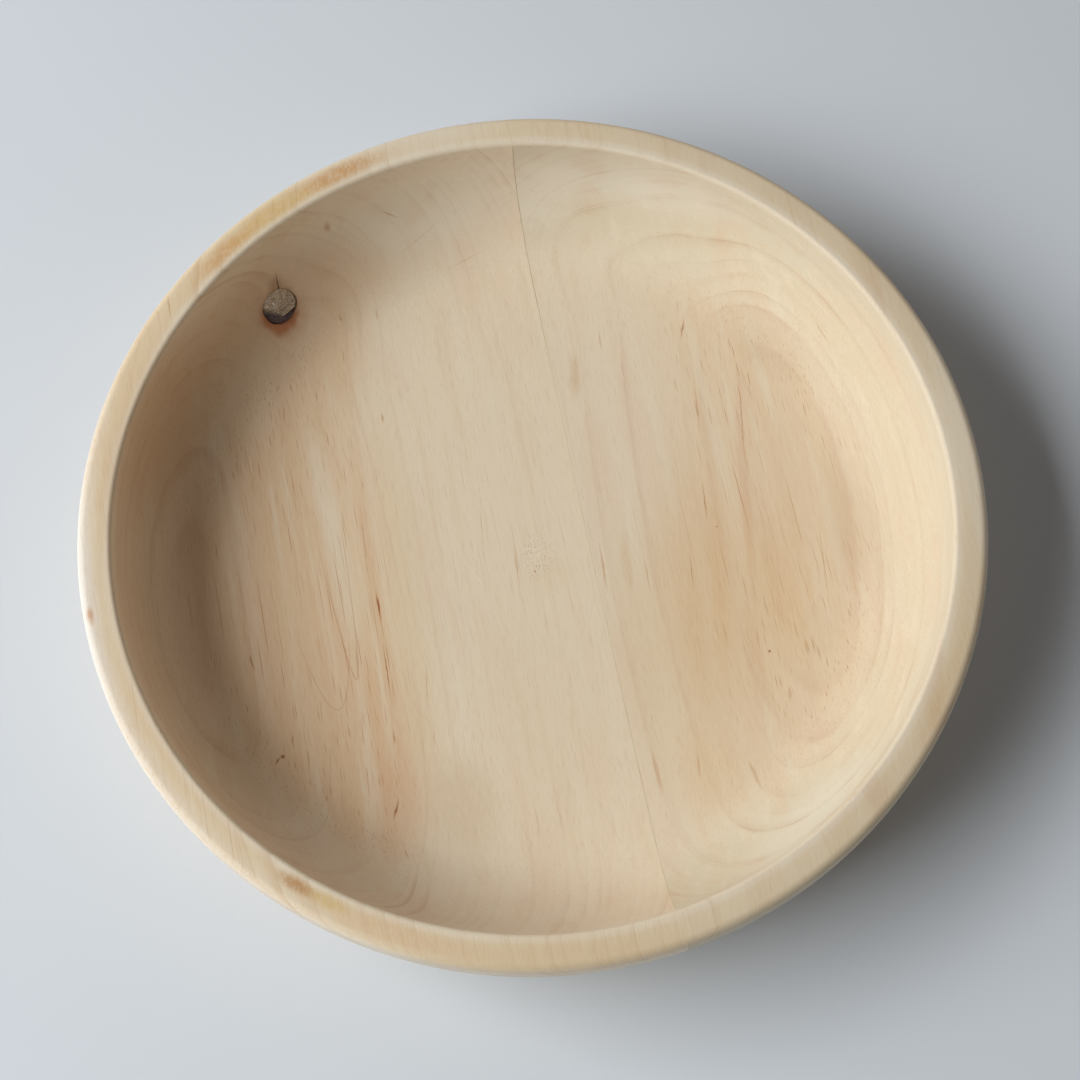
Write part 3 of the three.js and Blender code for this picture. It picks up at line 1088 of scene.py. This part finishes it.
def crumbling_bark():
    material, tree, place = new_material("dry_birch_bark")
    grain = add_node(tree, "TexNoise", {"Vector": place, "Scale": 1.3, "Detail": 4, "Roughness": 0.7})
    colour = lay_over(tree, "#736467", "#8C7766", (grain, 0.45, 0.75))
    add_shader(tree, colour, 0.9, grain, -0.2)
    return material


# %% [markdown]
# ## Dressing the pieces
#
# Each finer piece now gets its material. It also takes over from its CAD solid: it rides on the same body
# and replaces the solid's node.

# %% Dress the pieces
dressing = [
    (left_board, left_birch, "left_board_wood", "left_board"),
    (right_board, right_birch, "right_board_wood", "right_board"),
    (glue_film, dried_glue(), "glue_film", "glue_line"),
    (knot, weathered_knot(), "dead_knot_wood", "knot"),
    (bark, crumbling_bark(), "knot_bark", "knot_bark"),
]
for piece, finish, slot, node in dressing:
    piece.data.materials.clear()
    piece.data.materials.append(finish)
    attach(piece, "root")
    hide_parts(node)
print("dressed:", [piece.name for piece, _, _, _ in dressing])

# %% [markdown]
# ## Table, light and view
#
# The bowl stands on a plain pale surface. Daylight comes through one large window on the left, which is why
# the left wall lies in its own soft shadow and the bowl's shadow falls to the right. Light from the rest of
# the room fills the shadows. Standard view shows colours as they are written. The floor is far wider than
# the bowl, so that its edges stay far behind the bowl from any side.

# %% Floor
bpy.ops.mesh.primitive_plane_add(size=12)
floor = bpy.context.active_object
floor.name = "pale_floor"
floor_finish, floor_tree, _ = new_material("pale_matt_floor")
add_shader(floor_tree, paint("#DEE3E8"), 0.9, 0, 0)
floor.data.materials.append(floor_finish)

# %% [markdown]
# The window is an area light, as wide and as high above the table as the soft edge and the length of the
# bowl's shadow ask for. Its power is set so that pale wood stays just short of white.

# %% Window light
window_width = 1.8
window_tall = 1
window_distance = 2
window_height = math.radians(43)
window_turn = math.radians(179)
window_power = 43.5

towards_window = Vector((
    math.cos(window_height) * math.cos(window_turn),
    math.cos(window_height) * math.sin(window_turn),
    math.sin(window_height),
))
bpy.ops.object.light_add(
    type="AREA", location=towards_window * window_distance,
    rotation=towards_window.to_track_quat("Z", "Y").to_euler(),
)
window = bpy.context.active_object
window.name = "window_light"
window.data.shape = "RECTANGLE"
window.data.size = window_width
window.data.size_y = window_tall
window.data.energy = window_power
window.data.color = (0.95, 0.98, 1)

# %% [markdown]
# Light from the room comes mostly from low down and from the far side, as it does off a wall and a table.
# The camera sees a plain pale surround instead, so a Light Path node gives its rays their own colour.

# %% Room light
low_fill = 0.355
overhead_fill = 0.01
more_from_far = 0.6
more_from_right = 0.2

room = bpy.context.scene.world or bpy.data.worlds.new("room")
bpy.context.scene.world = room
room.use_nodes = True
sky = room.node_tree
sky.nodes.clear()
ray_kind = add_node(sky, "LightPath")
direction = add_node(sky, "TexCoord")
apart = add_node(sky, "SeparateXYZ", {0: direction.outputs["Generated"]})
fill_strength = add_node(
    sky, "MapRange", {"Value": apart.outputs["Z"], "To Min": low_fill, "To Max": overhead_fill},
)
far_side = add_node(sky, "Math", {0: apart.outputs["Y"], 1: more_from_far, 2: 1}, operation="MULTIPLY_ADD")
far_side = add_node(
    sky, "Math", {0: apart.outputs["X"], 1: more_from_right, 2: far_side}, operation="MULTIPLY_ADD",
)
fill_strength = add_node(sky, "Math", {0: far_side, 1: fill_strength}, operation="MULTIPLY")
fill = add_node(sky, "Background", {"Color": paint("#FFF7F3"), "Strength": fill_strength})
seen = add_node(sky, "Background", {"Color": paint("#E4E8EC"), "Strength": 1})
both = add_node(sky, "MixShader", {0: ray_kind.outputs["Is Camera Ray"], 1: fill, 2: seen})
add_node(sky, "OutputWorld", {"Surface": both})
bpy.context.scene.view_settings.view_transform = "Standard"
